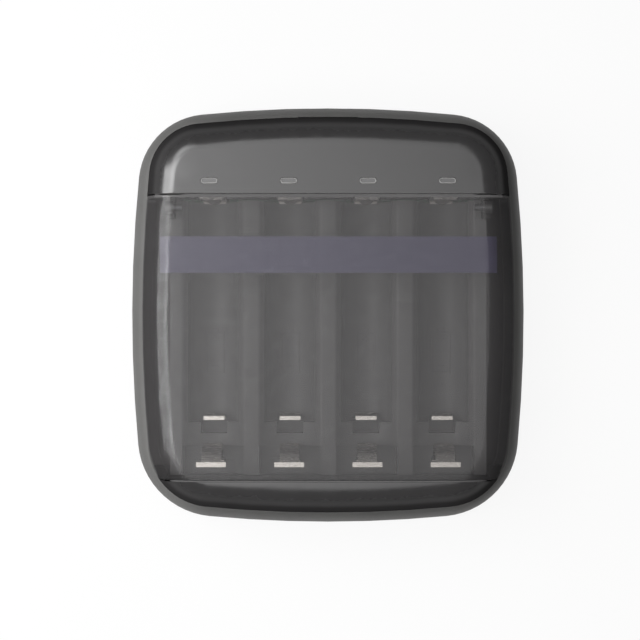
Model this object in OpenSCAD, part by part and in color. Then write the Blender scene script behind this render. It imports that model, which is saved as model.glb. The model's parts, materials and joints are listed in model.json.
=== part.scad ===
// Desk charger for four AA or AAA cells: a pillow-shaped case whose bays lie under
// a smoked flip-up cover. Millimetres, +Z up, +Y to the rear, origin under the middle of the case.

/* [Cells and bays] */
// Diameter of the larger cell
cell_d = 14.5; // [14:0.1:15]
// Length of the larger cell over its button
cell_len = 50.5; // [49.5:0.1:51.5]
// Diameter of the smaller cell
small_cell_d = 10.5; // [10:0.1:10.8]
// Length of the smaller cell over its button
small_cell_len = 44.5; // [43.5:0.1:45]
// Distance between neighbouring bays
bay_pitch = 16; // [15.6:0.1:17]
// Radial clearance of a cell in its trough
cell_clear = 0.2; // [0.1:0.05:0.3]
// Width of the ridge between two troughs
ridge_w = 3.2; // [2.4:0.1:4]
// Chamfer along the ridges' top edges
ridge_chamfer = 0.35; // [0.1:0.05:0.5]
// Depth of the small cell's groove below the large cell's trough
groove_drop = 4.2; // [3.8:0.1:5]

/* [Case] */
// Case beyond the outer bays, out to its widest line
side_margin = 10; // [9.6:0.1:12]
// Depth of the rear deck, from the bays to the rearmost line
deck_depth = 19.9; // [19:0.1:23]
// Depth of the front nose, from the bays to the foremost line
nose_depth = 10.8; // [10:0.1:13]
// Radius of the bowed left and right sides
side_bulge_r = 300; // [200:5:400]
// Radius of the bowed front and rear
end_bulge_r = 270; // [220:5:400]
// Corner radius at the rear
rear_corner_r = 15; // [14:0.5:18]
// Corner radius at the front
front_corner_r = 17; // [15:0.5:19]
// Wall of the moulded shells
wall = 2; // [1.6:0.1:2.2]
// Floor of the base
floor_t = 2; // [1.6:0.1:2.4]
// Height of the base from its underside to its rim
base_h = 9.6; // [9:0.1:11]
// Height of the widest line above the underside
belly_h = 4.4; // [3.6:0.1:6]
// Set-in of the flat underside from the widest line
bottom_inset = 3.5; // [3:0.1:4.5]
// Width of the rounded rim that shows round the upper shell
rim_w = 2.5; // [2:0.1:3]
// Shadow gap between the base and the upper shell
parting_gap = 0.2; // [0.1:0.05:0.4]
// Step from the rim's inner edge to the upper shell's skirt
skirt_step = 0.3; // [0.1:0.05:0.5]
// Lean of the upper wall from the skirt to the shoulder
wall_lean = 1.1; // [0.6:0.1:1.4]
// Radius of the shoulder round the flat top
shoulder_r = 6.1; // [5.4:0.1:6.6]
// Wall between the bays and the space under the deck
deck_wall = 1.5; // [1.2:0.1:1.7]
// Height of the side rails that join deck and nose under the cover
rail_h = 2.2; // [1.6:0.1:3]

/* [Tray] */
// Thinnest floor of the tray, under the grooves
tray_t = 1.6; // [1.2:0.1:2]
// Tray beyond the outer bays on each side
tray_side = 1; // [0.6:0.1:1.2]
// Clearance between the tray and the shell round it
tray_gap = 0.2; // [0.1:0.05:0.3]
// Length of the pocket behind the small cell's leaf
small_pocket_l = 2.4; // [2:0.1:2.6]
// Length of the pocket ahead of a large leaf's foot
leaf_pocket_l = 3.25; // [2.8:0.05:3.6]
// Height of the leaf pocket's floor above the grooves
leaf_pocket_z = 2.8; // [2:0.1:3]
// Width of the hollows under the ridges
rib_gap = 2; // [1.4:0.1:2.4]
// Diameter of the feet that stand the tray on the board
tray_foot_d = 2.4; // [2:0.1:3]
// Distance of the rear feet from the tray's rear edge
tray_foot_rear = 8; // [6:0.5:12]
// Distance of the front feet from the tray's front edge
tray_foot_front = 14; // [12:0.5:18]

/* [Cover] */
// Wall of the cover
cover_t = 2; // [1.6:0.1:2.2]
// Space between the large cells and the cover
head_gap = 0.3; // [0.2:0.05:0.6]
// Radius of the rounded rear edge, about the hinge axis
hinge_r = 2.4; // [2.2:0.05:2.6]
// Gap between the cover and the fixed shell
cover_gap = 0.35; // [0.3:0.05:0.5]
// Gap between the cover's front edge and the nose
front_gap = 0.2; // [0.15:0.05:0.35]
// Chamfer of the deck edge that stops the open cover
deck_chamfer = 0.15; // [0.1:0.05:0.2]
// Rounding of the cover's rear top edge
cover_edge_r = 0.6; // [0.5:0.05:1.2]
// Room for that edge as it turns under the deck's lip
swing_gap = 0.3; // [0.25:0.05:0.35]
// Thickness of the deck's lip over that room
deck_lip_t = 0.3; // [0.25:0.05:0.4]
// Diameter of the hinge pins
pin_d = 1.4; // [1.2:0.05:1.5]
// Radial running clearance of the cover on its pins
pin_clear = 0.05; // [0.03:0.01:0.08]
// Width of each hinge lug
lug_w = 1.5; // [1.2:0.1:1.6]
// Width of each hinge ear
ear_w = 1.6; // [1.4:0.1:1.7]
// Radius of each hinge ear round its pin
ear_r = 1.3; // [1.2:0.05:1.4]
// Height of the arm that carries each hinge ear
ear_arm_h = 2.8; // [2:0.1:3]
// Thickness of the neck between that arm and its ear
ear_neck_t = 1.4; // [1.2:0.1:1.6]
// Distance of that neck ahead of the hinge axis
ear_neck_lead = 0.65; // [0.6:0.05:0.8]
// Gap between the hinge ears and the cover
hinge_gap = 0.25; // [0.2:0.05:0.3]
// Step from the cover's rounded edge down to its lugs
lug_relief = 0.05; // [0.02:0.01:0.1]
// Length of a pin inside its ear
pin_bite = 1.3; // [1:0.1:1.4]
// Width of the tinted strip under the cover
stripe_w = 7.4; // [5:0.1:10]
// Distance of the tinted strip from the deck
stripe_setback = 8.6; // [7:0.1:12]
// Reach of the tinted strip to each side
stripe_reach = 34.2; // [30:0.1:34.5]
// Thickness of the tinted film
stripe_t = 0.2; // [0.15:0.05:0.3]

/* [Contacts] */
// Thickness of the contact sheet
strip_t = 0.4; // [0.3:0.05:0.5]
// Width of a positive contact
plus_w = 5.2; // [5:0.1:7.5]
// Height of a positive contact's top edge above the trough
plus_rise = 10.8; // [9:0.1:11.5]
// Height of a positive contact's pressed rib
plus_bump = 0.8; // [0.5:0.05:1]
// Radius of that rib's round face
plus_rib_r = 1.8; // [1.4:0.1:2.4]
// Start of that rib above the groove
plus_rib_low = 2.4; // [2:0.1:3]
// End of that rib below the contact's top edge
plus_rib_high = 2; // [1.6:0.1:2.4]
// Length of the slope that ends that rib
plus_rib_end_l = 1.4; // [1:0.1:1.5]
// Width of the lip at a positive contact's foot
lip_w = 4.7; // [3:0.1:4.9]
// Reach of that lip into the bay
lip_l = 0.5; // [0.4:0.1:1.2]
// Height of that lip above the groove
lip_rise = 0.8; // [0.6:0.1:1.2]
// Width of a large cell's leaf
leaf_w = 6.1; // [5:0.1:7]
// Width of a large leaf's bowed tongue
leaf_tongue_w = 4; // [3:0.1:5]
// Width of the folded hem along a large leaf's top edge
leaf_hem = 1; // [0.8:0.1:1.2]
// Bow of a large cell's leaf
leaf_bow = 4.05; // [3:0.05:4.5]
// Height of a large leaf's bow
leaf_h = 11.6; // [10:0.1:12]
// Height of a large leaf's top edge above the trough
leaf_rise = 10.8; // [10:0.1:12]
// Space behind a large cell's leaf
leaf_back = 2.9; // [2.2:0.1:4]
// Width of a small cell's leaf
small_leaf_w = 4.4; // [3:0.1:5]
// Width of the folded hem along a small leaf's top edge
small_leaf_hem = 0.8; // [0.6:0.1:0.9]
// Drop of a small leaf's top edge below the large cell's trough
small_leaf_drop = 0.2; // [0.1:0.05:0.6]
// Start of a small leaf's bow above the groove
small_leaf_foot = 0.7; // [0.5:0.1:1]
// Bow of a small cell's leaf
small_leaf_bow = 1.1; // [0.8:0.05:1.4]
// Amount by which a cell pushes its leaf back
preload = 0.65; // [0.4:0.05:0.9]
// Width of a contact's solder leg
leg_w = 2; // [1.4:0.1:2.6]
// Clearance round a contact leg in the tray
leg_clear = 0.2; // [0.1:0.05:0.3]

/* [Electronics] */
// Height of the board above the floor of the base
standoff_h = 1.6; // [1.2:0.1:2.4]
// Thickness of the circuit board
board_t = 1.6; // [1:0.1:2]
// Set-in of the board from the tray's sides
board_side = 1.5; // [1:0.1:2.5]
// Reach of the board under the rear deck
board_reach = 4.7; // [4:0.1:5.5]
// Set-in of the board's front edge from the bays' front end
board_setin = 0.6; // [0.4:0.1:2]
// Width of the board's tongue behind the bays
board_tongue_w = 38; // [34:0.5:42]
// Board beside the charging socket
socket_land = 1.5; // [1.2:0.1:2]
// Gap between the board and the base's walls
board_clear = 0.3; // [0.2:0.05:0.4]
// Diameter of the posts under the board
standoff_d = 4; // [3.5:0.1:5]
// Diameter of the pegs that place the board
peg_d = 1.8; // [1.5:0.1:2.2]
// Height of those pegs above the board
peg_proud = 0.9; // [0.4:0.1:1]
// Clearance round those pegs
peg_clear = 0.1; // [0.05:0.05:0.2]
// Set-in of the posts from the board's sides
standoff_in = 3; // [2.6:0.1:5]
// Distance of the rear posts from the deck
standoff_rear = 7.5; // [6:0.5:9]
// Distance of the front posts from the bays' front end
standoff_front = 15; // [12:0.5:18]
// Space between the board and the tray
part_gap = 1.2; // [1:0.1:1.8]
// Length of a light window in the deck
window_l = 3.5; // [2.6:0.1:4.5]
// Width of a light window in the deck
window_w = 1.3; // [1:0.05:1.6]
// Distance of the light windows from the deck's front edge
window_setback = 2.55; // [2.4:0.05:4]
// Clearance of a light pipe in its window
window_clear = 0.05; // [0.03:0.01:0.1]
// Reach of a light pipe's flange beyond its window
flange_out = 1; // [0.6:0.1:1.4]
// Height of that flange
flange_h = 0.8; // [0.6:0.1:1.2]
// Gap between a lamp and its light pipe
pipe_gap = 0.2; // [0.1:0.05:0.4]
// Length of a lamp
led_l = 1.6; // [1.4:0.1:2]
// Width of a lamp
led_w = 0.8; // [0.6:0.1:1]
// Height of a lamp
led_h = 0.7; // [0.5:0.05:0.9]
// Length of a lamp's lens
led_lens_l = 1; // [0.8:0.1:1.2]
// Width of the charging socket's shell
socket_w = 8.94; // [8.8:0.02:9.1]
// Height of the charging socket's shell
socket_h = 3.26; // [3.1:0.02:3.3]
// Length of the charging socket
socket_l = 7.4; // [6.5:0.1:8.5]
// Sheet of the charging socket's shell
socket_t = 0.3; // [0.25:0.05:0.4]
// Gap round the socket in the board's notch
socket_notch_gap = 0.15; // [0.1:0.05:0.2]
// Reach of the tabs that carry the socket on the board
socket_tab_w = 1; // [0.8:0.1:1.1]
// Length of those tabs
socket_tab_l = 2.4; // [1.6:0.1:3]
// Gap round the socket in the base's wall
socket_clear = 0.3; // [0.2:0.05:0.4]
// Set-back of the socket's mouth from the rearmost line
socket_setback = 0.9; // [0.6:0.1:1.4]
// Width of the tongue inside the socket
tongue_w = 6.7; // [6.5:0.05:6.8]
// Thickness of that tongue
tongue_t = 0.7; // [0.6:0.05:0.75]
// Set-back of that tongue from the socket's mouth
tongue_setback = 0.8; // [0.6:0.1:1]
// Back wall of the socket
socket_back = 1.2; // [0.8:0.1:1.6]
// Side of the charge controller
chip_w = 5; // [4:0.1:6]
// Height of the charge controller
chip_h = 1; // [0.8:0.05:1.1]
// Distance of the charge controller behind the board's rear edge
chip_back = 2.8; // [2.6:0.1:3.2]
// Side of the power inductor
coil_w = 6.6; // [5:0.1:7]
// Height of the power inductor
coil_h = 3; // [2:0.1:4]
// Distance of the power inductor from the middle
coil_x = 11; // [10:0.1:12]
// Diameter of the power inductor's core
core_d = 4.4; // [3:0.1:4.6]
// Width and depth of the groove round that core
core_groove = 0.6; // [0.4:0.05:0.8]
// Diameter of a capacitor
can_d = 5.6; // [5:0.1:6]
// Height of a capacitor
can_h = 7.7; // [6:0.1:9]
// Step of a capacitor's foot
can_foot_step = 0.35; // [0.2:0.05:0.4]
// Height of a capacitor's foot
can_foot_h = 0.6; // [0.4:0.05:0.8]
// Distance of the first capacitor from the middle
can_x = 8.4; // [8:0.1:9]
// Distance between the capacitors
can_pitch = 6.8; // [6.6:0.1:7]
// Distance of the inductor and the capacitors behind the board's rear edge
parts_back = 4.1; // [3.8:0.1:4.4]

/* [Feet and screws] */
// Height by which the feet stand proud
foot_h = 1; // [0.6:0.1:1.4]
// Depth of the foot recesses
foot_recess = 0.6; // [0.4:0.05:0.8]
// Diameter of a foot
foot_d = 8; // [6:0.1:9]
// Clearance round a foot in its recess
foot_clear = 0.1; // [0.05:0.05:0.2]
// Distance of the feet from the outer bays' middle, outwards
foot_out = 5; // [4:0.1:6]
// Distance of the feet from the foremost and rearmost lines
foot_setback = 20.3; // [19:0.1:22]
// Diameter of the screw shanks
screw_d = 2.5; // [2.2:0.1:2.8]
// Diameter of the screw heads
screw_head_d = 4.4; // [4:0.1:4.6]
// Height of the screw heads
screw_head_h = 1.5; // [1.2:0.1:1.8]
// Length of the screws under their heads
screw_len = 12; // [9:0.1:14]
// Clearance round the screws
screw_clear = 0.1; // [0.05:0.01:0.15]
// Diameter of the drive socket in the screw heads
drive_d = 1.8; // [1.5:0.1:2]
// Depth of the screw heads below the underside
screw_sink = 0.7; // [0.4:0.1:1]
// Distance of the rear screws from the outer bays' middle, outwards
rear_screw_out = 4; // [3:0.1:4.4]
// Distance of the rear screws behind the bays
rear_screw_back = 8.6; // [8:0.1:9]
// Distance of the front screws from the outer bays' middle, inwards
front_screw_in = 2; // [1.5:0.1:4]
// Distance of the front screws ahead of the bays
front_screw_ahead = 3.3; // [3.2:0.1:3.6]
// Diameter of the screw bosses
boss_d = 6; // [5.6:0.1:6.4]

/* [Hidden] */
$fn = 64;
bays = 4;
// Steps of the faceted loft: along a corner, along a bowed side and up a fillet
corner_n = 13;
side_n = 6;
fillet_n = 8;
inner_fillet_n = 5;
// Overshoot of a cutting shape beyond the face that it cuts
over = 1;
// Sink of a post or boss into the floor that carries it
root = 0.5;

// Heights
z_floor = foot_h + floor_t;
z_board = z_floor + standoff_h;
z_board_top = z_board + board_t;
z_tray = z_board_top + part_gap;
z_groove = z_tray + tray_t;
z_trough = z_groove + groove_drop;
z_top = z_trough + cell_d + head_gap + cover_t;
z_belly = foot_h + belly_h;
z_rim = foot_h + base_h;
z_parting = z_rim + parting_gap;
z_rail = z_parting + rail_h;
trough_r = cell_d / 2 + cell_clear;
groove_r = small_cell_d / 2 + cell_clear;
trough_z = z_trough + trough_r;
groove_z = z_groove + groove_r;
trough_half = (bay_pitch - ridge_w) / 2;
z_ridge = trough_z - sqrt(pow(trough_r, 2) - pow(trough_half, 2));

// Lengths along Y, worked forward from the positive contacts
bay_len = strip_t + plus_bump + cell_len - preload + leaf_bow + leaf_back;
case_l = deck_depth + bay_len + nose_depth;
deck_y = case_l / 2 - deck_depth;
nose_y = deck_y - bay_len;
cell_plus_y = deck_y - strip_t - plus_bump;
leaf_y = cell_plus_y - cell_len + preload;
leaf_top_y = leaf_y - leaf_bow;
small_leaf_y = cell_plus_y - small_cell_len + preload;
small_top_y = small_leaf_y - small_leaf_bow;
groove_front = small_top_y - 2 * strip_t;
small_pocket_front = groove_front - small_pocket_l;
leaf_pocket_rear = leaf_top_y + leaf_pocket_l;
tray_rear = deck_y - strip_t - tray_gap;
tray_front = nose_y + tray_gap;
tray_foot_y = [tray_rear - tray_foot_rear, tray_front + tray_foot_front];

// Widths along X
case_w = bays * bay_pitch + 2 * side_margin;
tray_half = bays * bay_pitch / 2 + tray_side;
opening_half = tray_half + tray_gap;
function bay_x(i) = (i - (bays + 1) / 2) * bay_pitch;

// Outline insets of the upper shell and of the base's inside
skirt_inset = rim_w + skirt_step;
flat_inset = skirt_inset + wall_lean + shoulder_r;
cavity_inset = skirt_inset + wall;
cavity_draft = 0.4;

// Hinge of the cover
axis_y = deck_y - cover_gap - hinge_r;
axis_z = z_top - hinge_r;
lug_cell_gap = 0.15;
cell_at_lug = sqrt(pow(cell_d / 2, 2) - pow(axis_z - hinge_r - z_trough - cell_d / 2, 2));
lug_in = bay_x(bays) + cell_at_lug + lug_cell_gap;
lug_out = lug_in + lug_w;
ear_x = lug_out + hinge_gap;
ear_out = ear_x + ear_w;
ear_arm_z = axis_z - hinge_r - cover_gap;
ear_neck_rear = axis_y - ear_neck_lead;
ear_front = ear_neck_rear - ear_neck_t;
edge_lead = hinge_r - cover_edge_r;
rear_sweep_r = norm([edge_lead, edge_lead]) + cover_edge_r + swing_gap;
nose_sweep_r = axis_y - nose_y;
cover_sweep_r = nose_sweep_r - front_gap;
z_wing = z_rail + cover_gap;

// Contacts
leaf_top_z = z_trough + leaf_rise;
small_leaf_top_z = z_trough - small_leaf_drop;
small_leaf_h = small_leaf_top_z - z_groove - small_leaf_foot;
plus_top_z = z_trough + plus_rise;

// Board and its parts
board_half = tray_half - board_side;
board_rear = deck_y + board_reach;
board_front = nose_y + board_setin;
board_tongue_rear = end_line(board_tongue_w / 2, cavity_inset + cavity_draft) - board_clear;
board_nose_half = socket_w / 2 + socket_land;
board_nose_rear = end_line(board_nose_half, wall) - 2 * board_clear;
standoff_y = [deck_y - standoff_rear, nose_y + standoff_front];
standoff_x = board_half - standoff_in;
window_y = deck_y + window_setback;
socket_mouth = case_l / 2 - socket_setback;
socket_z = z_board + board_t / 2;

// Screws and feet
screw_rear = [bay_x(bays) + rear_screw_out, deck_y + rear_screw_back];
screw_front = [bay_x(bays) - front_screw_in, nose_y - front_screw_ahead];
screw_seat = foot_h + screw_head_h + screw_sink;
foot_at = [bay_x(bays) + foot_out, case_l / 2 - foot_setback];

// Rear line of the case, set in by inset, at x
function end_line(x, inset) = case_l / 2 - end_bulge_r + sqrt(pow(end_bulge_r - inset, 2) - x * x);

// Points of an arc about c, without the ends where skip is 1
function arc_points(c, r, a0, a1, n, skip = 0) =
    [for (i = [skip : n - skip]) let (a = a0 + (a1 - a0) * i / n) c + r * [cos(a), sin(a)]];

// Centre of a corner of radius r that runs smoothly into both bowed sides
function corner_centre(r) =
    let (
        side_c = [case_w / 2 - side_bulge_r, 0],
        end_c = [0, case_l / 2 - end_bulge_r],
        gap = norm(end_c - side_c),
        along = (end_c - side_c) / gap,
        reach = (pow(side_bulge_r - r, 2) - pow(end_bulge_r - r, 2) + gap * gap) / (2 * gap),
        rise = sqrt(pow(side_bulge_r - r, 2) - reach * reach)
    ) side_c + reach * along + rise * [-along[1], along[0]];

// Directions in which a corner meets the bowed side and the bowed end
function corner_span(c) = [
    atan2(c[1], c[0] + side_bulge_r - case_w / 2),
    atan2(c[1] + end_bulge_r - case_l / 2, c[0])
];

// The case's plan, set in from its widest line
function outline(inset) =
    let (
        side_c = [case_w / 2 - side_bulge_r, 0],
        end_c = [0, case_l / 2 - end_bulge_r],
        rear_c = corner_centre(rear_corner_r),
        front_c = corner_centre(front_corner_r),
        ra = corner_span(rear_c),
        fa = corner_span(front_c),
        rear_r = rear_corner_r - inset,
        front_r = front_corner_r - inset,
        side_r = side_bulge_r - inset,
        end_r = end_bulge_r - inset
    ) concat(
        arc_points(rear_c, rear_r, ra[0], ra[1], corner_n),
        arc_points(end_c, end_r, ra[1], 180 - ra[1], side_n, 1),
        arc_points([-rear_c[0], rear_c[1]], rear_r, 180 - ra[1], 180 - ra[0], corner_n),
        arc_points(-side_c, side_r, 180 - ra[0], 180 + fa[0], side_n, 1),
        arc_points(-front_c, front_r, 180 + fa[0], 180 + fa[1], corner_n),
        arc_points(-end_c, end_r, 180 + fa[1], 360 - fa[1], side_n, 1),
        arc_points([front_c[0], -front_c[1]], front_r, 360 - fa[1], 360 - fa[0], corner_n),
        arc_points(side_c, side_r, -fa[0], ra[0], side_n, 1)
    );

// Solid through a stack of outlines, each given as [inset, height]
module loft(rings) {
    n = len(outline(0));
    top = len(rings) - 1;
    polyhedron(
        points = [for (r = rings) for (p = outline(r[0])) [p[0], p[1], r[1]]],
        faces = concat(
            [[for (i = [0 : n - 1]) i]],
            [[for (i = [n - 1 : -1 : 0]) top * n + i]],
            [for (k = [0 : top - 1]) for (i = [0 : n - 1])
                [k * n + i, (k + 1) * n + i, (k + 1) * n + (i + 1) % n, k * n + (i + 1) % n]]
        )
    );
}

// Rings of the pillow, taken in by t on every side, standing on height z
function pillow_rings(t, z, n) = concat(
    [[skirt_inset + t, z]],
    [for (i = [0 : n]) let (a = 90 * i / n) [
        flat_inset - (shoulder_r - t) * cos(a),
        z_top - shoulder_r + (shoulder_r - t) * sin(a)
    ]]
);

// Rings of the base's outside: a rounded bottom edge up to the belly, then the rim
base_rings = concat(
    [for (i = [0 : fillet_n]) let (a = 90 * i / fillet_n)
        [bottom_inset * (1 - sin(a)), z_belly - belly_h * cos(a)]],
    [for (i = [1 : fillet_n]) let (a = 90 * i / fillet_n)
        [rim_w * (1 - cos(a)), z_belly + (z_rim - z_belly) * sin(a)]]
);

// Rings of the base's inside
base_cavity_rings = [
    [cavity_inset + cavity_draft, z_floor],
    [cavity_inset, z_rim + over]
];

// Flat slot or bar with round ends, along X
module pill(l, w, h) {
    r = w / 2;
    reach = l / 2 - r;
    linear_extrude(h) polygon(concat(
        arc_points([reach, 0], r, -90, 90, 8),
        arc_points([-reach, 0], r, 90, 270, 8)
    ));
}

// Bar along X with its middle over y and z
module bar_x(y, z, r, x0, x1) {
    translate([x0, y, z]) rotate([0, 90, 0]) cylinder(r = r, h = x1 - x0);
}

// Trough along Y
module bar_y(x, z, r, y0, y1) {
    translate([x, y1, z]) rotate([90, 0, 0]) cylinder(r = r, h = y1 - y0);
}

// Block between two corners
module block(a, b) {
    translate(a) cube(b - a);
}

// Places a profile drawn as [y, z] across a width along X
module across(x, w) {
    translate([x - w / 2, 0, 0]) rotate([90, 0, 90]) linear_extrude(w) children();
}

// Both sides, mirrored about the middle
module both_sides() {
    children();
    mirror([1, 0, 0]) children();
}

// The four screw places
module at_screws() {
    both_sides() translate(screw_rear) children();
    both_sides() translate(screw_front) children();
}

// The four foot places
module at_feet() {
    both_sides() translate(foot_at) children();
    both_sides() translate([foot_at[0], -foot_at[1]]) children();
}

module base_shell() {
    color("#5b5b5a") difference() {
        union() {
            difference() {
                loft(base_rings);
                loft(base_cavity_rings);
                block([-board_nose_half - board_clear, 0, z_floor],
                    [board_nose_half + board_clear, board_nose_rear + board_clear, z_rim + over]);
            }
            at_screws() translate([0, 0, z_floor - root])
                cylinder(d = boss_d, h = z_parting - z_floor + root);
            both_sides() for (y = standoff_y) translate([standoff_x, y, z_floor - root]) {
                cylinder(d = standoff_d, h = standoff_h + root);
                cylinder(d = peg_d, h = z_board_top + peg_proud - z_floor + root);
            }
        }
        at_screws() translate([0, 0, foot_h - over])
            cylinder(d = screw_d + 2 * screw_clear, h = z_top);
        at_screws() translate([0, 0, foot_h - over])
            cylinder(d = screw_head_d + 2 * screw_clear, h = screw_seat - foot_h + over);
        at_feet() translate([0, 0, foot_h - over])
            cylinder(d = foot_d + 2 * foot_clear, h = foot_recess + over);
        translate([0, case_l / 2 + over, socket_z - socket_h / 2 - socket_clear]) rotate([90, 0, 0])
            translate([0, socket_h / 2 + socket_clear, 0])
            pill(socket_w + 2 * socket_clear, socket_h + 2 * socket_clear, socket_l);
    }
}

// Space taken out of the pillow for the cover and the tray, less the two hinge ears
module cover_space() {
    difference() {
        union() {
            intersection() {
                block([-case_w, nose_y - over, z_rail], [case_w, deck_y, z_top + over]);
                bar_x(axis_y, axis_z, nose_sweep_r, -case_w, case_w);
            }
            block([-opening_half, nose_y - tray_gap, z_parting - over],
                [opening_half, deck_y, z_top + over]);
            intersection() {
                bar_x(axis_y, axis_z, rear_sweep_r, -case_w, case_w);
                loft(pillow_rings(deck_lip_t, z_parting - over, fillet_n));
            }
        }
        both_sides() hinge_ear();
    }
}

// Bracket on the deck's wall that holds a hinge pin under the cover, clear of the cover's swing
module hinge_ear() {
    block([ear_x, ear_front, ear_arm_z - ear_arm_h], [ear_out, deck_y + over, ear_arm_z]);
    block([ear_x, ear_front, ear_arm_z - ear_arm_h], [ear_out, ear_neck_rear, axis_z - ear_r / 2]);
    bar_x(axis_y, axis_z, ear_r, ear_x, ear_out);
}

module upper_shell() {
    color("#4f4f4e") difference() {
        union() {
            difference() {
                loft(pillow_rings(0, z_parting, fillet_n));
                cover_space();
                intersection() {
                    loft(pillow_rings(wall, z_parting - over, inner_fillet_n));
                    union() {
                        block([-case_w, deck_y + deck_wall, 0], [case_w, case_l, z_top]);
                        block([-case_w, -case_l, 0], [case_w, nose_y - tray_gap - wall, z_top]);
                    }
                }
            }
            intersection() {
                at_screws() translate([0, 0, z_parting])
                    cylinder(d = boss_d, h = z_top - wall / 2 - z_parting);
                loft(pillow_rings(wall / 2, z_parting - over, inner_fillet_n));
                union() {
                    block([-case_w, deck_y + deck_wall / 2, 0], [case_w, case_l, z_top]);
                    block([-case_w, -case_l, 0], [case_w, nose_y - tray_gap - wall / 2, z_top]);
                }
            }
        }
        at_screws() translate([0, 0, z_parting - over])
            cylinder(d = screw_d + 2 * screw_clear, h = screw_len + over);
        for (i = [1 : bays]) translate([bay_x(i), window_y, z_top - wall - over])
            pill(window_l, window_w, wall + 2 * over);
        both_sides() bar_x(axis_y, axis_z, pin_d / 2, ear_x - over, ear_x + pin_bite);
        across(0, case_w) translate([deck_y, z_top]) rotate(45)
            square(deck_chamfer * sqrt(2), center = true);
    }
}

// Section of a bay: the large cell's trough with chamfered edges, as [x, z]
module bay_section() {
    chamfer_z = z_ridge - ridge_chamfer;
    chamfer_half = sqrt(pow(trough_r, 2) - pow(trough_z - chamfer_z, 2));
    edge_half = trough_half + ridge_chamfer;
    translate([0, trough_z]) circle(trough_r);
    polygon([
        [-chamfer_half, chamfer_z], [chamfer_half, chamfer_z],
        [edge_half, z_ridge], [edge_half, z_ridge + over],
        [-edge_half, z_ridge + over], [-edge_half, z_ridge]
    ]);
}

// Everything that is taken out of the tray for one bay
module bay_cut(x) {
    pocket_half = small_leaf_w / 2 + 3 * leg_clear;
    translate([x, tray_rear + over, 0]) rotate([90, 0, 0])
        linear_extrude(tray_rear + over - leaf_pocket_rear) bay_section();
    bar_y(x, groove_z, groove_r, groove_front, tray_rear + over);
    block([x - pocket_half, small_pocket_front, z_groove],
        [x + pocket_half, groove_front + over, z_ridge]);
    block([x - trough_half, tray_front - over, z_groove + leaf_pocket_z],
        [x + trough_half, leaf_pocket_rear, z_ridge + over]);
    leg_slot(x, leaf_tongue_w, leaf_top_y);
    leg_slot(x, small_leaf_w, small_top_y);
}

// Slot through the tray for a leaf's foot
module leg_slot(x, w, y) {
    half_w = w / 2 + leg_clear;
    half_t = strip_t / 2 + leg_clear;
    block([x - half_w, y - half_t, z_tray - over], [x + half_w, y + half_t, z_ridge]);
}

module battery_tray() {
    color("#5a5a59") {
        difference() {
            block([-tray_half, tray_front, z_tray], [tray_half, tray_rear, z_ridge]);
            for (i = [1 : bays]) bay_cut(bay_x(i));
            for (i = [1 : bays - 1]) block(
                [bay_x(i) + bay_pitch / 2 - rib_gap / 2, tray_front + wall, z_tray - over],
                [bay_x(i) + bay_pitch / 2 + rib_gap / 2, tray_rear - wall, z_ridge - tray_t]);
        }
        both_sides() for (y = tray_foot_y) translate([bay_x(bays), y, z_board_top])
            cylinder(d = tray_foot_d, h = z_tray + tray_t / 2 - z_board_top);
    }
}

// Where the cover may be: inside its sweep, and up to its rounded rear edge behind the hinge axis
module cover_zone() {
    intersection() {
        block([-case_w, -case_l, z_wing], [case_w, axis_y, z_top + over]);
        bar_x(axis_y, axis_z, cover_sweep_r, -case_w, case_w);
    }
    intersection() {
        block([-case_w, axis_y - over, z_wing], [case_w, axis_y + hinge_r, axis_z]);
        bar_x(axis_y, axis_z, axis_z - z_wing, -case_w, case_w);
    }
    block([-case_w, axis_y - over, axis_z - over], [case_w, axis_y + hinge_r, z_top - cover_edge_r]);
    block([-case_w, axis_y - over, axis_z - over], [case_w, axis_y + edge_lead, z_top + over]);
    bar_x(axis_y + edge_lead, z_top - cover_edge_r, cover_edge_r, -case_w, case_w);
}

module cover() {
    color("#3a3a3c", 0.5) difference() {
        union() {
            intersection() {
                difference() {
                    loft(pillow_rings(0, z_parting, fillet_n));
                    loft(pillow_rings(cover_t, z_parting - over, inner_fillet_n));
                }
                cover_zone();
            }
            both_sides() bar_x(axis_y, axis_z, hinge_r - lug_relief, lug_in, lug_out);
        }
        both_sides() bar_x(axis_y, axis_z, pin_d / 2 + pin_clear, lug_in - over, lug_out + over);
        both_sides() bar_x(axis_y, axis_z, ear_r + hinge_gap, lug_out, ear_out + hinge_gap);
    }
}

module tint_strip() {
    stripe_rear = deck_y - stripe_setback;
    color("#5d5c8c", 0.6) intersection() {
        difference() {
            loft(pillow_rings(cover_t, z_parting, inner_fillet_n));
            loft(pillow_rings(cover_t + stripe_t, z_parting - over, inner_fillet_n));
        }
        block([-stripe_reach, stripe_rear - stripe_w, z_wing], [stripe_reach, stripe_rear, z_top]);
    }
}

module hinge_pin() {
    color("#8d8d8d") bar_x(axis_y, axis_z, pin_d / 2, lug_in, ear_x + pin_bite);
}

module circuit_board() {
    notch_half = socket_w / 2 + socket_notch_gap;
    color("#1f5a38") difference() {
        union() {
            block([-board_half, board_front, z_board], [board_half, board_rear, z_board_top]);
            block([-board_tongue_w / 2, board_rear - over, z_board],
                [board_tongue_w / 2, board_tongue_rear, z_board_top]);
            block([-board_nose_half, board_tongue_rear - over, z_board],
                [board_nose_half, board_nose_rear, z_board_top]);
        }
        both_sides() for (y = standoff_y) translate([standoff_x, y, z_board - over])
            cylinder(d = peg_d + 2 * peg_clear, h = board_t + 2 * over);
        block([-notch_half, socket_mouth - socket_l - socket_notch_gap, z_board - over],
            [notch_half, case_l, z_board_top + over]);
    }
}

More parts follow.
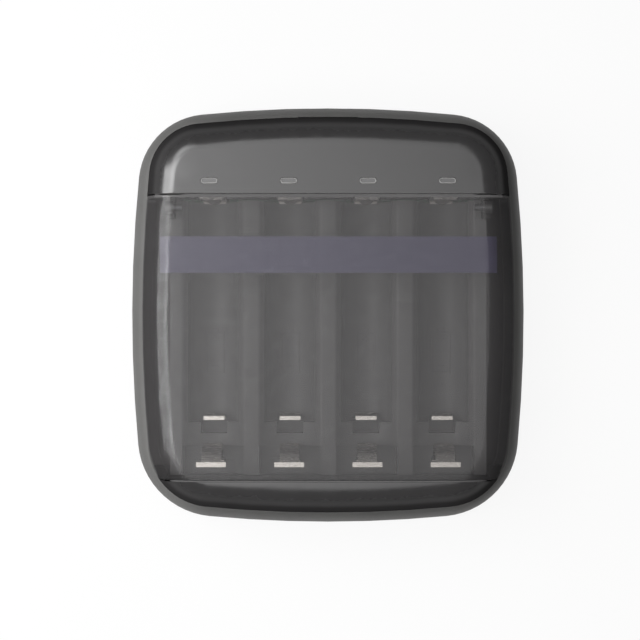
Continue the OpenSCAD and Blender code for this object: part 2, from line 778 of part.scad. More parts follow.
module charging_socket() {
    color("#b4b4b6") translate([0, socket_mouth, socket_z]) {
        difference() {
            union() {
                rotate([90, 0, 0]) pill(socket_w, socket_h, socket_l);
                both_sides() block([socket_w / 2 - socket_h / 4, -socket_l, board_t / 2],
                    [socket_w / 2 + socket_tab_w, socket_tab_l - socket_l, board_t / 2 + socket_t]);
            }
            translate([0, over, 0]) rotate([90, 0, 0])
                pill(socket_w - 2 * socket_t, socket_h - 2 * socket_t, socket_l - socket_back + over);
        }
        block([-tongue_w / 2, -socket_l + socket_back / 2, -tongue_t / 2],
            [tongue_w / 2, -tongue_setback, tongue_t / 2]);
    }
}

// Sprung plate against the deck wall, with a pressed rib, a lip and a solder leg
module positive_contact(i) {
    front = deck_y - strip_t;
    rib_z = z_groove + plus_rib_low;
    rib_h = plus_top_z - plus_rib_high - rib_z;
    lip_z = z_groove + lip_rise;
    color("#cfc6bd") translate([bay_x(i), 0, 0]) {
        across(0, plus_w) polygon([
            [front, z_parting], [deck_y, z_parting], [deck_y, plus_top_z], [front, plus_top_z - strip_t]
        ]);
        block([-leg_w / 2, front, z_board_top], [leg_w / 2, deck_y, z_parting]);
        block([-lip_w / 2, front - lip_l, lip_z], [lip_w / 2, front, lip_z + strip_t]);
        block([-lip_w / 2, front, lip_z], [lip_w / 2, deck_y, z_parting]);
        intersection() {
            translate([0, front - plus_bump + plus_rib_r, rib_z]) {
                cylinder(r = plus_rib_r, h = rib_h);
                translate([0, 0, rib_h])
                    cylinder(r1 = plus_rib_r, r2 = plus_rib_r - plus_bump, h = plus_rib_end_l);
            }
            block([-plus_rib_r, front - plus_bump - over, 0], [plus_rib_r, deck_y - strip_t / 2, z_top]);
        }
    }
}

// Bowed tongue of a leaf as [y, z], from its hem at [y, z] to its foot on the board
module leaf_bow_section(y, z, bow, h) {
    r = (pow(h / 2, 2) + bow * bow) / (2 * bow);
    centre = [y + bow - r, z - h / 2];
    intersection() {
        translate(centre) difference() {
            circle(r);
            circle(r - strip_t);
        }
        translate([y, z - h]) square([bow + over, h]);
    }
    translate([y - strip_t / 2, z_board_top]) square([strip_t, z - h + strip_t - z_board_top]);
}

// Folded hem of a leaf as [y, z], with its middle at [y, z]
module leaf_hem_section(y, z, hem) {
    translate([y - hem / 2, z - strip_t]) square([hem, 2 * strip_t]);
}

module large_leaf(i) {
    color("#cfc6bd") {
        across(bay_x(i), leaf_tongue_w) leaf_bow_section(leaf_top_y, leaf_top_z, leaf_bow, leaf_h);
        across(bay_x(i), leaf_w) leaf_hem_section(leaf_top_y, leaf_top_z, leaf_hem);
    }
}

module small_leaf(i) {
    color("#cfc6bd") across(bay_x(i), small_leaf_w) {
        leaf_bow_section(small_top_y, small_leaf_top_z, small_leaf_bow, small_leaf_h);
        leaf_hem_section(small_top_y, small_leaf_top_z, small_leaf_hem);
    }
}

// Clear bar from a lamp on the board up to its window, with a flange under the deck
module light_pipe(i) {
    pipe_w = window_w - 2 * window_clear;
    pipe_z = z_board_top + led_h + pipe_gap;
    color("#c9c9c4", 0.8) translate([bay_x(i), window_y, 0]) {
        translate([0, 0, pipe_z])
            pill(window_l - 2 * window_clear, pipe_w, z_top - pipe_z);
        translate([0, 0, z_top - wall - flange_h])
            pill(window_l + 2 * flange_out, pipe_w, flange_h);
    }
}

module led(i) {
    color("#f0f0e0") translate([bay_x(i), window_y, z_board_top]) {
        translate([0, 0, led_h / 4]) cube([led_l, led_w, led_h / 2], center = true);
        translate([0, 0, led_h / 2]) cube([led_lens_l, led_w, led_h], center = true);
    }
}

module charge_controller() {
    color("#26262a") translate([0, board_rear + chip_back, z_board_top + chip_h / 2])
        cube([chip_w, chip_w, chip_h], center = true);
}

module power_inductor() {
    color("#3c3a38") translate([-coil_x, board_rear + parts_back, z_board_top]) difference() {
        translate([0, 0, coil_h / 2]) cube([coil_w, coil_w, coil_h], center = true);
        translate([0, 0, coil_h - core_groove]) difference() {
            cylinder(d = core_d + 2 * core_groove, h = over);
            translate([0, 0, -over]) cylinder(d = core_d, h = 3 * over);
        }
    }
}

module capacitors() {
    color("#b9b9bd") translate([can_x, board_rear + parts_back, z_board_top])
        for (i = [0, 1]) translate([i * can_pitch, 0, 0]) {
            cylinder(d = can_d + 2 * can_foot_step, h = can_foot_h);
            cylinder(d = can_d, h = can_h);
        }
}

module case_screws() {
    color("#9a9a9c") at_screws() translate([0, 0, screw_seat]) difference() {
        union() {
            translate([0, 0, -screw_head_h]) cylinder(d = screw_head_d, h = screw_head_h);
            cylinder(d = screw_d, h = screw_len);
        }
        translate([0, 0, -screw_head_h - over]) cylinder(d = drive_d, h = over + screw_head_h / 2, $fn = 6);
    }
}

module rubber_feet() {
    color("#202020") at_feet() cylinder(d = foot_d, h = foot_h + foot_recess);
}

base_shell();
upper_shell();
battery_tray();
cover();
tint_strip();
mirror([1, 0, 0]) hinge_pin();  // hinge_pin_left
hinge_pin();  // hinge_pin_right
circuit_board();
charging_socket();
for (i = [1 : bays]) {
    positive_contact(i);
    large_leaf(i);
    small_leaf(i);
    light_pipe(i);
    led(i);
}
charge_controller();
power_inductor();
capacitors();
case_screws();
rubber_feet();
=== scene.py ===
"""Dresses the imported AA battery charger: finishes, moulded signs, studio light and the photograph's camera."""

import json
import math

import bpy
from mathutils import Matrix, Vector
from mathutils.bvhtree import BVHTree


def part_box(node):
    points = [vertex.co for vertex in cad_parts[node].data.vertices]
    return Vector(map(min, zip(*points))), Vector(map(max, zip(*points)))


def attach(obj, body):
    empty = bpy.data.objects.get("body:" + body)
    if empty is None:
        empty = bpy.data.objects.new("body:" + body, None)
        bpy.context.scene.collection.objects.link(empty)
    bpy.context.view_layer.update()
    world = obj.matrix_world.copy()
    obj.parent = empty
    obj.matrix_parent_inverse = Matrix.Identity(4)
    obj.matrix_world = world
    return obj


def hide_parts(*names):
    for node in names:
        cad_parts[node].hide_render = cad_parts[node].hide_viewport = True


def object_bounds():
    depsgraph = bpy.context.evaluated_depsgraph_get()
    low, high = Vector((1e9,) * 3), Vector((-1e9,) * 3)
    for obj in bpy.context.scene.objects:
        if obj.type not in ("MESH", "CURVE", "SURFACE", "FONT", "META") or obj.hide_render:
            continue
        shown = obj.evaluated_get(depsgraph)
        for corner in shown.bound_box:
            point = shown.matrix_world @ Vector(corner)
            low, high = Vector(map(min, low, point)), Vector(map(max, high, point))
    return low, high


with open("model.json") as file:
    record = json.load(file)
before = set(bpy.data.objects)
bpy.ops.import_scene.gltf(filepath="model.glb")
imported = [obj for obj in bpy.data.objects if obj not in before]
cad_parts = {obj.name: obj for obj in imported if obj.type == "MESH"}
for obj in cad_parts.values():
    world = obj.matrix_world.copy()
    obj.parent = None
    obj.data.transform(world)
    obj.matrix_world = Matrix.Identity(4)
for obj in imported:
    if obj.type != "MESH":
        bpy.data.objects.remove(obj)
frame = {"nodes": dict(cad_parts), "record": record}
cad_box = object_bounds()
nodes = frame["nodes"]

MM = 0.001
BAYS = (1, 2, 3, 4)

# The photograph's frame: side, focal length and the place of the object's middle, in pixels
PHOTO_SIDE = 640
FOCAL = 1799
OBJECT_MIDDLE = (328.45, 314.65)
CAMERA_RISE = 362 * MM
SENSOR = 36

# Largest angle between two faces that still shade as one surface
SMOOTH_ANGLE = math.radians(32)
WELD = 0.004 * MM

# Gap between the film and the cover that it is glued to
GLUE_GAP = 0.03 * MM


# Materials

def new_material(name):
    """An empty node material: its node tree, its Principled shader and its object coordinates."""
    material = bpy.data.materials.new(name)
    material.use_nodes = True
    tree = material.node_tree
    shader = tree.nodes["Principled BSDF"]
    place = tree.nodes.new("ShaderNodeTexCoord").outputs["Object"]
    return material, tree, shader, place


def stretched(tree, place, scale):
    """The coordinates times a scale for each axis."""
    mapping = tree.nodes.new("ShaderNodeMapping")
    mapping.inputs["Scale"].default_value = scale
    tree.links.new(place, mapping.inputs["Vector"])
    return mapping.outputs["Vector"]


def noise(tree, place, size, detail=2.0):
    """Soft noise whose patches are about size metres across."""
    node = tree.nodes.new("ShaderNodeTexNoise")
    node.inputs["Scale"].default_value = 1 / size
    node.inputs["Detail"].default_value = detail
    tree.links.new(place, node.inputs["Vector"])
    return node.outputs["Fac"]


def spread(tree, value, low, high):
    """The middle half of a noise mapped to low and high."""
    node = tree.nodes.new("ShaderNodeMapRange")
    node.inputs["From Min"].default_value = 0.25
    node.inputs["From Max"].default_value = 0.75
    node.inputs["To Min"].default_value = low
    node.inputs["To Max"].default_value = high
    tree.links.new(value, node.inputs["Value"])
    return node.outputs["Result"]


def tone(tree, value, colour, change):
    """A colour that a noise makes darker and lighter by a share."""
    ramp = tree.nodes.new("ShaderNodeValToRGB")
    for stop, at, factor in zip(ramp.color_ramp.elements, (0.3, 0.7), (1 - change, 1 + change)):
        stop.position = at
        stop.color = [c * factor for c in colour] + [1]
    tree.links.new(value, ramp.inputs["Fac"])
    return ramp.outputs["Color"]


def bump(tree, value, depth):
    """A normal from a height in metres."""
    node = tree.nodes.new("ShaderNodeBump")
    node.inputs["Distance"].default_value = depth
    tree.links.new(value, node.inputs["Height"])
    return node.outputs["Normal"]


def by_height(tree, place, low, high):
    """A value that goes from low on the case's upright sides to high on its top."""
    split = tree.nodes.new("ShaderNodeSeparateXYZ")
    tree.links.new(place, split.inputs["Vector"])
    node = tree.nodes.new("ShaderNodeMapRange")
    node.interpolation_type = "SMOOTHSTEP"
    node.inputs["From Min"].default_value = SIDES_UP_TO
    node.inputs["From Max"].default_value = TOP_FROM
    node.inputs["To Min"].default_value = low
    node.inputs["To Max"].default_value = high
    tree.links.new(split.outputs["Z"], node.inputs["Value"])
    return node.outputs["Result"]


def plastic(name, colour, roughness, grain, depth, specular=0.5, change=0.05, alpha=1.0):
    """Moulded plastic: fine grain of the tool, slow shifts of tone, and gloss that varies with the grain."""
    material, tree, shader, place = new_material(name)
    fine = noise(tree, place, grain)
    slow = noise(tree, place, PATCH, 3.0)
    tree.links.new(tone(tree, slow, colour, change), shader.inputs["Base Color"])
    tree.links.new(spread(tree, fine, roughness - 0.05, roughness + 0.05), shader.inputs["Roughness"])
    tree.links.new(bump(tree, fine, depth), shader.inputs["Normal"])
    shader.inputs["Specular IOR Level"].default_value = specular
    shader.inputs["Alpha"].default_value = alpha
    return material


def satin_top(name, colour, roughness, specular, side_specular, alpha=1.0):
    """Plastic with a satin top and matt sides."""
    material = plastic(name, colour, roughness, SATIN_GRAIN, SATIN_DEPTH, specular, SATIN_CHANGE, alpha)
    tree = material.node_tree
    shader = tree.nodes["Principled BSDF"]
    place = tree.nodes["Texture Coordinate"].outputs["Object"]
    rough = tree.nodes.new("ShaderNodeMath")
    rough.operation = "ADD"
    tree.links.new(shader.inputs["Roughness"].links[0].from_socket, rough.inputs[0])
    tree.links.new(by_height(tree, place, MATT - roughness, 0), rough.inputs[1])
    tree.links.new(rough.outputs["Value"], shader.inputs["Roughness"])
    tree.links.new(by_height(tree, place, side_specular, specular), shader.inputs["Specular IOR Level"])
    return material


def paint_light_along_y(material, colour, start, end):
    """Paints light onto a plastic: takes it from its own colour at start to a paler one at end, two places along
    Y.
    """
    tree = material.node_tree
    base = tree.nodes["Principled BSDF"].inputs["Base Color"]
    split = tree.nodes.new("ShaderNodeSeparateXYZ")
    tree.links.new(tree.nodes["Texture Coordinate"].outputs["Object"], split.inputs["Vector"])
    share = tree.nodes.new("ShaderNodeMapRange")
    share.interpolation_type = "SMOOTHSTEP"
    share.inputs["From Min"].default_value = start
    share.inputs["From Max"].default_value = end
    tree.links.new(split.outputs["Y"], share.inputs["Value"])
    mix = tree.nodes.new("ShaderNodeMixRGB")
    mix.inputs["Color2"].default_value = colour + (1,)
    tree.links.new(share.outputs["Result"], mix.inputs["Fac"])
    tree.links.new(base.links[0].from_socket, mix.inputs["Color1"])
    tree.links.new(mix.outputs["Color"], base)


def metal(name, colour, roughness, stroke, depth=0.004 * MM):
    """Bare metal with fine strokes, drawn out by the scale of each axis."""
    material, tree, shader, place = new_material(name)
    strokes = noise(tree, stretched(tree, place, stroke), 0.12 * MM)
    slow = noise(tree, place, 3 * MM)
    tree.links.new(tone(tree, slow, colour, 0.06), shader.inputs["Base Color"])
    tree.links.new(spread(tree, strokes, roughness - 0.03, roughness + 0.03), shader.inputs["Roughness"])
    tree.links.new(bump(tree, strokes, depth), shader.inputs["Normal"])
    shader.inputs["Metallic"].default_value = 1.0
    return material


def solder_mask():
    """Green board lacquer over raised copper tracks."""
    material, tree, shader, place = new_material("board_lacquer")
    wave = tree.nodes.new("ShaderNodeTexWave")
    wave.inputs["Scale"].default_value = 0.25 / MM
    wave.inputs["Distortion"].default_value = 3.0
    tree.links.new(place, wave.inputs["Vector"])
    tracks = wave.outputs["Fac"]
    tree.links.new(tone(tree, tracks, (0.02, 0.11, 0.05), 0.25), shader.inputs["Base Color"])
    tree.links.new(spread(tree, tracks, 0.3, 0.45), shader.inputs["Roughness"])
    tree.links.new(bump(tree, tracks, 0.03 * MM), shader.inputs["Normal"])
    return material


# Slow shifts of tone on all plastics
PATCH = 9 * MM

# Case and cover are satin on top and matt below their shoulders
SIDES_UP_TO = 27.4 * MM
TOP_FROM = 29.6 * MM
MATT = 0.7
SATIN_GRAIN = 2.5 * MM
SATIN_DEPTH = 0.002 * MM
SATIN_CHANGE = 0.04

# How far metal strokes are drawn out along an axis
ALONG_X = (0.06, 1, 1)
ALONG_Y = (1, 0.06, 1)
ALONG_Z = (1, 1, 0.06)

# Plastics: colour, roughness, size and depth of the grain, and gloss; metals: colour, roughness and strokes
FINISHES = {
    "base_plastic": plastic("base_plastic_grained", (0.09, 0.089, 0.087), 0.6, 0.22 * MM, 0.03 * MM, 0.35),
    "case_plastic": satin_top("case_plastic_satin", (0.021, 0.0202, 0.0206), 0.22, 0.65, 0.0),
    "tray_plastic": plastic("tray_plastic_satin", (0.083, 0.0805, 0.081), 0.4, 1.5 * MM, 0.002 * MM, 0.16),
    "smoked_plastic": satin_top("cover_smoked", (0.058, 0.0552, 0.0564), 0.2, 1.0, 0.5, 0.26),
    "tinted_film": plastic("film_tinted", (0.06, 0.0515, 0.126), 0.4, 2 * MM, 0.001 * MM, 0.4, 0.03, 0.7),
    "nickel": metal("nickel_plate", (0.67, 0.628, 0.585), 0.26, ALONG_X, 0.0005 * MM),
    "steel": metal("steel_plain", (0.56, 0.56, 0.57), 0.32, ALONG_Y),
    "board": solder_mask(),
    "light_pipe": plastic("light_pipe_smoked", (0.08, 0.079, 0.08), 0.25, 0.1 * MM, 0.002 * MM),
    "led_body": plastic("lamp_body", (0.75, 0.74, 0.6), 0.35, 0.08 * MM, 0.003 * MM),
    "black_plastic": plastic("chip_epoxy", (0.02, 0.02, 0.021), 0.5, 0.08 * MM, 0.008 * MM),
    "ferrite": plastic("coil_ferrite", (0.05, 0.046, 0.042), 0.6, 0.1 * MM, 0.02 * MM),
    "can_aluminium": metal("can_drawn", (0.8, 0.8, 0.81), 0.25, ALONG_Z),
    "rubber": plastic("foot_rubber", (0.018, 0.018, 0.018), 0.7, 0.15 * MM, 0.02 * MM, 0.3),
}


# CAD nodes: finishes, and shading that runs smoothly over the facets

def smooth_shading():
    """A modifier group that welds the facets and marks only their sharp edges as edges."""
    group = bpy.data.node_groups.new("smooth_by_angle", "GeometryNodeTree")
    group.interface.new_socket("Geometry", in_out="INPUT", socket_type="NodeSocketGeometry")
    group.interface.new_socket("Geometry", in_out="OUTPUT", socket_type="NodeSocketGeometry")
    new = group.nodes.new
    start, end = new("NodeGroupInput"), new("NodeGroupOutput")
    weld = new("GeometryNodeMergeByDistance")
    weld.inputs["Distance"].default_value = WELD
    plain = new("GeometryNodeRemoveAttribute")
    plain.inputs["Name"].default_value = "custom_normal"
    faces = new("GeometryNodeSetShadeSmooth")
    edges = new("GeometryNodeSetShadeSmooth")
    edges.domain = "EDGE"
    angle = new("GeometryNodeInputMeshEdgeAngle")
    gentle = new("FunctionNodeCompare")
    gentle.operation = "LESS_THAN"
    gentle.inputs["B"].default_value = SMOOTH_ANGLE
    group.links.new(angle.outputs["Unsigned Angle"], gentle.inputs["A"])
    group.links.new(gentle.outputs["Result"], edges.inputs["Shade Smooth"])
    chain = [start, weld, plain, faces, edges, end]
    for a, b in zip(chain, chain[1:]):
        group.links.new(a.outputs["Geometry"], b.inputs["Geometry"])
    return group


# The cover's rear edge is painted paler, a painted light over the shade at the rear seam
PAINTED_LIGHT_EDGE = (23.35 * MM, 23.75 * MM)
paint_light_along_y(FINISHES["smoked_plastic"], (0.17, 0.165, 0.167), *PAINTED_LIGHT_EDGE)
smoothing = smooth_shading()
slots = {part["node"]: part["material_slot"] for part in frame["record"]["subparts"]}
blued_steel = metal("steel_blued", (0.07, 0.07, 0.075), 0.45, ALONG_X)
# Rough nickel for the positive contacts, with a darker colour that is a painted shade at the back of the bays
dull_shaded_nickel = metal("nickel_dull_painted_shade", (0.42, 0.392, 0.365), 0.5, ALONG_X)
# Darker nickel for the ledges on the positive contacts, a painted shade
shaded_nickel = metal("nickel_painted_shade", (0.25, 0.236, 0.222), 0.5, ALONG_X)
for name, node in nodes.items():
    finish = FINISHES[slots[name]]
    if name.startswith("hinge_pin"):
        finish = blued_steel
    elif name.startswith("positive_contact"):
        finish = dull_shaded_nickel
    node.data.materials.clear()
    node.data.materials.append(finish)
    node.modifiers.new("smooth", "NODES").node_group = smoothing
    if name == "tint_strip":
        thinner = node.modifiers.new("glue_gap", "DISPLACE")
        thinner.mid_level = 0
        thinner.strength = -GLUE_GAP
    weighted = node.modifiers.new("weighted", "WEIGHTED_NORMAL")
    weighted.keep_sharp = True


# Added pieces, in mesh code

def add_piece(name, points, faces, materials, body, picks=None):
    """A smooth-shaded mesh that rides on a body."""
    mesh = bpy.data.meshes.new(name)
    mesh.from_pydata(points, [], faces)
    for material in materials:
        mesh.materials.append(material)
    for i, pick in enumerate(picks or []):
        mesh.polygons[i].material_index = pick
    mesh.update()
    piece = bpy.data.objects.new(name, mesh)
    bpy.context.scene.collection.objects.link(piece)
    piece.modifiers.new("smooth", "NODES").node_group = smoothing
    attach(piece, body)
    return piece


def pill_ring(x, y, z, length, width, steps=10):
    """Points round a slot with round ends, along X."""
    r = width / 2
    reach = length / 2 - r
    ring = []
    for side, start in ((1, -90), (-1, 90)):
        for k in range(steps + 1):
            a = math.radians(start + 180 * k / steps)
            ring.append((x + side * reach + r * math.cos(a), y + r * math.sin(a), z))
    return ring


def add_loft(name, rings, materials, body, picks=None):
    """A piece skinned over rings of equal size, with both ends closed."""
    n = len(rings[0])
    faces = [tuple(reversed(range(n)))]
    for k in range(len(rings) - 1):
        low, high = k * n, (k + 1) * n
        for i in range(n):
            j = (i + 1) % n
            faces.append((low + i, low + j, high + j, high + i))
    last = (len(rings) - 1) * n
    faces.append(tuple(range(last, last + n)))
    points = [p for ring in rings for p in ring]
    return add_piece(name, points, faces, materials, body, picks)


def middle_x(node):
    """The middle of a CAD node along X."""
    low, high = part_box(node)
    return (low.x + high.x) / 2


def light_window(i):
    """A light pipe whose end is a sunken smoked lens inside a rounded rim, whose pale colour is a painted
    highlight.
    """
    pipe = f"light_pipe_{i}"
    low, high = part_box(pipe)
    x, y = middle_x(pipe), (low.y + high.y) / 2
    profile = [(0, low.z - high.z), (0, -FLANGE_TOP - FLANGE_H), (-FLANGE_OUT, -FLANGE_TOP - FLANGE_H),
               (-FLANGE_OUT, -FLANGE_TOP), (0, -FLANGE_TOP), (0, -RIM_R)]
    for a in map(math.radians, range(30, 180, 30)):
        profile.append((RIM_R - RIM_R * math.cos(a), RIM_R * math.sin(a) - RIM_R))
    profile += [(2 * RIM_R, -WINDOW_SINK), (LENS_INSET, -WINDOW_SINK)]
    rings = []
    for inset, drop in profile:
        wide = 0 if inset < 0 else inset
        rings.append(pill_ring(x, y, high.z + drop, WINDOW_L - 2 * inset, high.y - low.y - 2 * wide))
    n = len(rings[0])
    picks = [0]
    for k in range(len(rings) - 1):
        picks += [1 if RIM_RINGS[0] <= k < RIM_RINGS[1] else 0] * n
    picks.append(0)
    finishes = [FINISHES["light_pipe"], rim_painted_highlight]
    window = add_loft(f"light_window_{i}", rings, finishes, "case", picks)
    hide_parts(pipe)


# Light windows: length, rim and lens, and the flange that CAD gives the pipe
WINDOW_L = 3.4 * MM
RIM_R = 0.11 * MM
RIM_RINGS = (5, 11)
LENS_INSET = 2.6 * RIM_R
WINDOW_SINK = 0.2 * MM
FLANGE_TOP = 2 * MM
FLANGE_H = 1 * MM
FLANGE_OUT = 0.6 * MM
# The rims are painted pale as a highlight, and paler still towards the front, where the painted highlight is
# brightest
rim_painted_highlight = plastic("window_rim_painted_highlight", (0.18, 0.178, 0.175), 0.4, 0.08 * MM, 0.002 * MM)
pipe_low, pipe_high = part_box("light_pipe_1")
paint_light_along_y(rim_painted_highlight, (0.235, 0.232, 0.228), pipe_high.y - RIM_R, pipe_low.y + RIM_R)
for i in BAYS:
    light_window(i)


def cell_mark(i):
    """A raised outline of a small cell on the floor of a groove, with its signs."""
    x = middle_x(f"small_leaf_{i}")
    half, line, arm = MARK_HALF, MARK_LINE, SIGN_ARM
    rear, front = MARK_REAR, MARK_FRONT
    plus, minus = rear - SIGN_INSET, front + SIGN_INSET
    bars = [
        (-half, -half + line, front, rear), (half - line, half, front, rear),
        (-half, half, rear - line, rear), (-half, half, front, front + line),
        (-half / 3, half / 3, rear, rear + 2 * line),
        (-arm, arm, plus - line / 2, plus + line / 2),
        (-line / 2, line / 2, plus - arm, plus + arm),
        (-arm, arm, minus - line / 2, minus + line / 2),
    ]
    points, faces = [], []
    for left, right, ahead, behind in bars:
        steps = max(1, round((right - left) / MARK_STEP))
        rows = []
        for lift, inset in ((-MARK_BEVEL, 0), (MARK_H * 0.6, 0), (MARK_H, MARK_BEVEL)):
            across = [left + inset + (right - left - 2 * inset) * k / steps for k in range(steps + 1)]
            ring = [(u, ahead + inset) for u in across] + [(u, behind - inset) for u in reversed(across)]
            rows.append([on_groove(x, u, v, lift) for u, v in ring])
        base = len(points)
        points += [p for row in rows for p in row]
        n = 2 * (steps + 1)
        for k in range(2):
            lower, upper = base + k * n, base + (k + 1) * n
            for a in range(n):
                b = (a + 1) % n
                faces.append((lower + a, lower + b, upper + b, upper + a))
        for level, turn in ((0, -1), (2, 1)):
            for a in range(steps):
                quad = (a, a + 1, n - 2 - a, n - 1 - a)
                faces.append(tuple(base + level * n + q for q in quad[::turn]))
    add_piece(f"cell_mark_{i}", points, faces, [FINISHES["tray_plastic"]], "case")


def on_groove(x, u, y, lift):
    """A point at arc length u from the lowest line of a groove, raised by lift."""
    a = u / GROOVE_R
    return x + (GROOVE_R - lift) * math.sin(a), y, GROOVE_FLOOR + GROOVE_R - (GROOVE_R - lift) * math.cos(a)


# Grooves for the small cells, and the marks on their floors
GROOVE_R = 5.45 * MM
GROOVE_FLOOR = 9 * MM
MARK_HALF = 2.1 * MM
MARK_LINE = 0.4 * MM
MARK_H = 0.16 * MM
MARK_STEP = 0.4 * MM
MARK_BEVEL = 0.06 * MM
MARK_REAR = -3.6 * MM
MARK_FRONT = -12.4 * MM
SIGN_INSET = 1.5 * MM
SIGN_ARM = 0.7 * MM
for i in BAYS:
    cell_mark(i)


def shell_surface():
    """The upper shell's faces, to cast rays on."""
    shell = nodes["upper_shell"]
    return BVHTree.FromPolygons([shell.matrix_world @ v.co for v in shell.data.vertices],
                                [face.vertices[:] for face in shell.data.polygons])


def case_top(y, reach, steps=64):
    """Points on the upper shell's top along X at one place along Y."""
    surface = shell_surface()
    points = []
    for k in range(steps + 1):
        x = reach * (2 * k / steps - 1)
        hit = surface.ray_cast(Vector((x, y, cad_box[1].z + MM)), Vector((0, 0, -1)))[0]
        points.append((x, hit.z))
    return points


def case_arch(y, lowest, steps=180):
    """Points over the upper shell from side to side at one place along Y, as (x, z), above a lowest z."""
    surface = shell_surface()
    middle = Vector((0, y, ARCH_MIDDLE))
    points = []
    for k in range(steps + 1):
        a = math.pi * (1 - k / steps)
        out = Vector((math.cos(a), 0, math.sin(a)))
        hit = surface.ray_cast(middle + out * ARCH_START, -out)[0]
        if hit.z >= lowest:
            points.append(hit.xz)
    return points


def front_bead(y, edge_y, reach):
    """A soft bead on the nose's wall, just under its edge, which the cover closes against."""
    half = BEAD_W / 2
    section = [(-half, -half - BEAD_DEEP), (half, -half - BEAD_DEEP)]
    for a in map(math.radians, range(0, 181, 30)):
        section.append((half * math.cos(a), half * math.sin(a) - half))
    line = case_top(edge_y, reach)
    rings = []
    for k, (x, z) in enumerate(line):
        size = BEAD_END if k in (0, len(line) - 1) else 1
        rings.append([(x, y + dy * size, z - BEAD_DOWN - half + (dz + half) * size) for dy, dz in section])
    add_loft("front_bead", rings, [seam_light_plastic], "case")


def contact_fold(i):
    """The folded ledge across the front of a positive contact, under its top."""
    contact = f"positive_contact_{i}"
    rear_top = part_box(contact)[1]
    rings = []
    for side in (-1, 1):
        x = middle_x(contact) + side * FOLD_W / 2
        rings.append([(x, rear_top.y + dy * MM, rear_top.z + dz * MM) for dy, dz in FOLD_SECTION])
    add_loft(f"contact_fold_{i}", rings, [shaded_nickel], "case")


# Ledge on each positive contact: width, and section in mm from the contact's rear top edge
FOLD_W = 4.6 * MM
FOLD_SECTION = [(-0.77, -1.3), (-0.35, -1.3), (-0.35, -1.05), (-0.75, -1.05),
                (-0.83, -1.08), (-0.87, -1.15), (-0.85, -1.25)]
for i in BAYS:
    contact_fold(i)


def seam_strip(name, section, material, body):
    """A soft strip along the rear seam, with its section in mm behind the cover and above the case's surface."""
    line = case_arch(cover_high.y + DECK_TOP, SEAM_LOW)
    rings = []
    for k, point in enumerate(line):
        along = line[min(k + 1, len(line) - 1)] - line[max(k - 1, 0)]
        up = Vector((-along.y, along.x)).normalized() * MM
        proud = EAR_RELIEF if EAR_ZONE[0] < abs(point.x) < EAR_ZONE[1] and body == "cover" else 1
        ring = []
        for back, rise in section:
            back *= proud if back > 0 else 1
            ring.append((point.x + up.x * rise, cover_high.y + back * MM, point.y + up.y * rise))
        rings.append(ring)
    add_loft(name, rings, [material], body)


# Bead in the front seam, and how far from the cover the nose's top begins
BEAD_W = 0.37 * MM
BEAD_GAP = 0.05 * MM
BEAD_DOWN = 0.04 * MM
BEAD_DEEP = 0.4 * MM
BEAD_REACH = 32 * MM
BEAD_END = 0.4
NOSE_TOP = 0.45 * MM
# The rear seam: where the deck's top begins behind the cover, and how low on the shoulders the strips end
DECK_TOP = 0.55 * MM
SEAM_LOW = 28.2 * MM
ARCH_MIDDLE = 14 * MM
ARCH_START = 60 * MM
# The lip stands less proud where the hinge ears pass under the open cover
EAR_ZONE = (29.5 * MM, 34.5 * MM)
EAR_RELIEF = 0.45
# Lip on the cover, inside the circle that the deck leaves free, and strip on the deck's edge behind it
COVER_LIP = [(-0.1, -0.45), (-0.04, -0.65), (0.2, -0.6), (0.24, -0.45), (0.22, -0.3), (0.13, -0.17),
             (-0.02, -0.07), (-0.2, -0.04), (-0.35, -0.045), (-0.4, -0.1)]
DECK_STRIP = [(0.3, -0.25), (0.45, -0.25), (0.52, -0.012), (0.34, -0.02), (0.3, -0.06)]
# The bead, strip and lip are paler than the case, a painted light over the shade in the seams
seam_light_plastic = plastic("edge_painted_light", (0.075, 0.0735, 0.074), 0.6, 0.06 * MM, 0.003 * MM, 0.3)
cover_low, cover_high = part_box("cover")
# The lip is painted paler on its rear face, deep in the seam, a painted light over the seam's shade
LIP_LIGHT_SPAN = 0.18 * MM
lip_painted_light = plastic("lip_painted_light", (0.07, 0.0685, 0.069), 0.6, 0.06 * MM, 0.003 * MM, 0.3)
paint_light_along_y(lip_painted_light, (0.17, 0.166, 0.168), cover_high.y, cover_high.y + LIP_LIGHT_SPAN)
front_bead(cover_low.y - BEAD_GAP - BEAD_W / 2, cover_low.y - NOSE_TOP, BEAD_REACH)
seam_strip("cover_lip", COVER_LIP, lip_painted_light, "cover")
seam_strip("deck_strip", DECK_STRIP, seam_light_plastic, "case")


# Studio

def softbox(name, place, target, size, radiance):
    """A rectangular lamp that shines from place to target with an even radiance."""
    lamp = bpy.data.lights.new(name, "AREA")
    lamp.shape = "RECTANGLE"
    lamp.size, lamp.size_y = size
    lamp.energy = radiance * math.pi * size[0] * size[1]
    body = bpy.data.objects.new(name, lamp)
    body.location = place
    body.rotation_euler = (Vector(target) - Vector(place)).to_track_quat("-Z", "Y").to_euler()
    body.visible_camera = False
    bpy.context.scene.collection.objects.link(body)
    return body


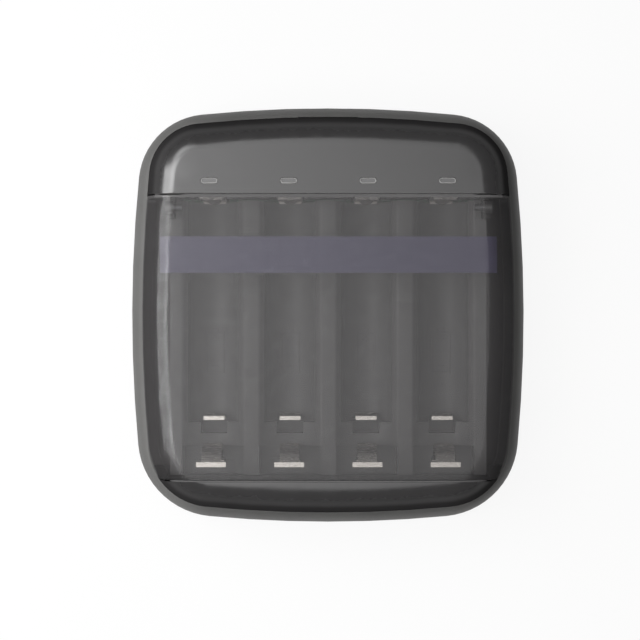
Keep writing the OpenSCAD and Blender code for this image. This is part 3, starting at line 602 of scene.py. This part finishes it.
def pale_floor(half, low):
    """A white floor that keeps a faint shadow, and looks white to the eye and in reflections."""
    mesh = bpy.data.meshes.new("floor")
    corners = [(-half, -half, low), (half, -half, low), (half, half, low), (-half, half, low)]
    mesh.from_pydata(corners, [], [(0, 1, 2, 3)])
    floor = bpy.data.objects.new("floor", mesh)
    bpy.context.scene.collection.objects.link(floor)
    material, tree, shader, _ = new_material("floor_white")
    shader.inputs["Base Color"].default_value = FLOOR_COLOUR
    shader.inputs["Roughness"].default_value = 0.9
    shader.inputs["Specular IOR Level"].default_value = 0.1
    path = tree.nodes.new("ShaderNodeLightPath").outputs
    white = tree.nodes.new("ShaderNodeEmission")
    seen = path["Is Camera Ray"]
    for other in ("Is Glossy Ray", "Is Transmission Ray"):
        either = tree.nodes.new("ShaderNodeMath")
        either.operation = "MAXIMUM"
        tree.links.new(seen, either.inputs[0])
        tree.links.new(path[other], either.inputs[1])
        seen = either.outputs["Value"]
    share = tree.nodes.new("ShaderNodeMath")
    share.operation = "MULTIPLY"
    share.inputs[1].default_value = FLOOR_GLOW
    tree.links.new(seen, share.inputs[0])
    mix = tree.nodes.new("ShaderNodeMixShader")
    tree.links.new(share.outputs["Value"], mix.inputs["Fac"])
    tree.links.new(shader.outputs["BSDF"], mix.inputs[1])
    tree.links.new(white.outputs["Emission"], mix.inputs[2])
    tree.links.new(mix.outputs["Shader"], tree.nodes["Material Output"].inputs["Surface"])
    floor.data.materials.append(material)


# The floor lies just under the feet, and shows mostly as plain white
FLOOR_HALF = 3.0
FLOOR_LOW = -0.05 * MM
FLOOR_COLOUR = (0.6, 0.6, 0.6, 1)
FLOOR_GLOW = 0.9
WORLD_COLOUR = (0.2, 0.2, 0.2, 1)
# The keys and the overhead panel: heights over the case, and the panel's place and depth along Y
KEY_RISE = 180 * MM
PANEL_RISE = 420 * MM
PANEL_Y = 25 * MM
PANEL_DEEP = 0.5
# Strips of the overhead panel, dimmer away from the key: left and right edge and radiance
FILL_STRIPS = [("fill_1", -240 * MM, -40 * MM, 2.45), ("fill_2", -40 * MM, 0, 2.2),
               ("fill_3", 0, 40 * MM, 1.85), ("fill_4", 40 * MM, 130 * MM, 1.4)]
top = cad_box[1].z
softbox("key_left", (-153 * MM, 12 * MM, top + KEY_RISE), (-30 * MM, 2 * MM, top), (0.15, 0.17), 8.0)
softbox("key_corner", (-106 * MM, 124 * MM, top + KEY_RISE), (-30 * MM, 36 * MM, top), (0.07, 0.06), 4.0)
for name, left, right, radiance in FILL_STRIPS:
    x = (left + right) / 2
    softbox(name, (x, PANEL_Y, top + PANEL_RISE), (x, PANEL_Y, top), (right - left, PANEL_DEEP), radiance)
front = softbox("front_low", (-120 * MM, -380 * MM, 160 * MM), (0, -40 * MM, 10 * MM), (0.4, 0.2), 2.6)
front.visible_glossy = False
pale_floor(FLOOR_HALF, FLOOR_LOW)

world = bpy.data.worlds.new("studio")
world.use_nodes = True
backdrop = world.node_tree.nodes["Background"]
backdrop.inputs["Color"].default_value = WORLD_COLOUR
bpy.context.scene.world = world


# Camera

def photo_camera():
    """The photograph's straight view from above, moved so that the object's middle falls where it does there."""
    data = bpy.data.cameras.new("camera")
    data.sensor_width = SENSOR
    data.lens = SENSOR * FOCAL / PHOTO_SIDE
    data.clip_start = 0.01
    camera = bpy.data.objects.new("camera", data)
    step = CAMERA_RISE / FOCAL
    across = (PHOTO_SIDE / 2 - OBJECT_MIDDLE[0]) * step
    along = (OBJECT_MIDDLE[1] - PHOTO_SIDE / 2) * step
    camera.location = (across, along, top + CAMERA_RISE)
    bpy.context.scene.collection.objects.link(camera)
    bpy.context.scene.camera = camera


photo_camera()
bpy.context.scene.view_settings.view_transform = "Standard"
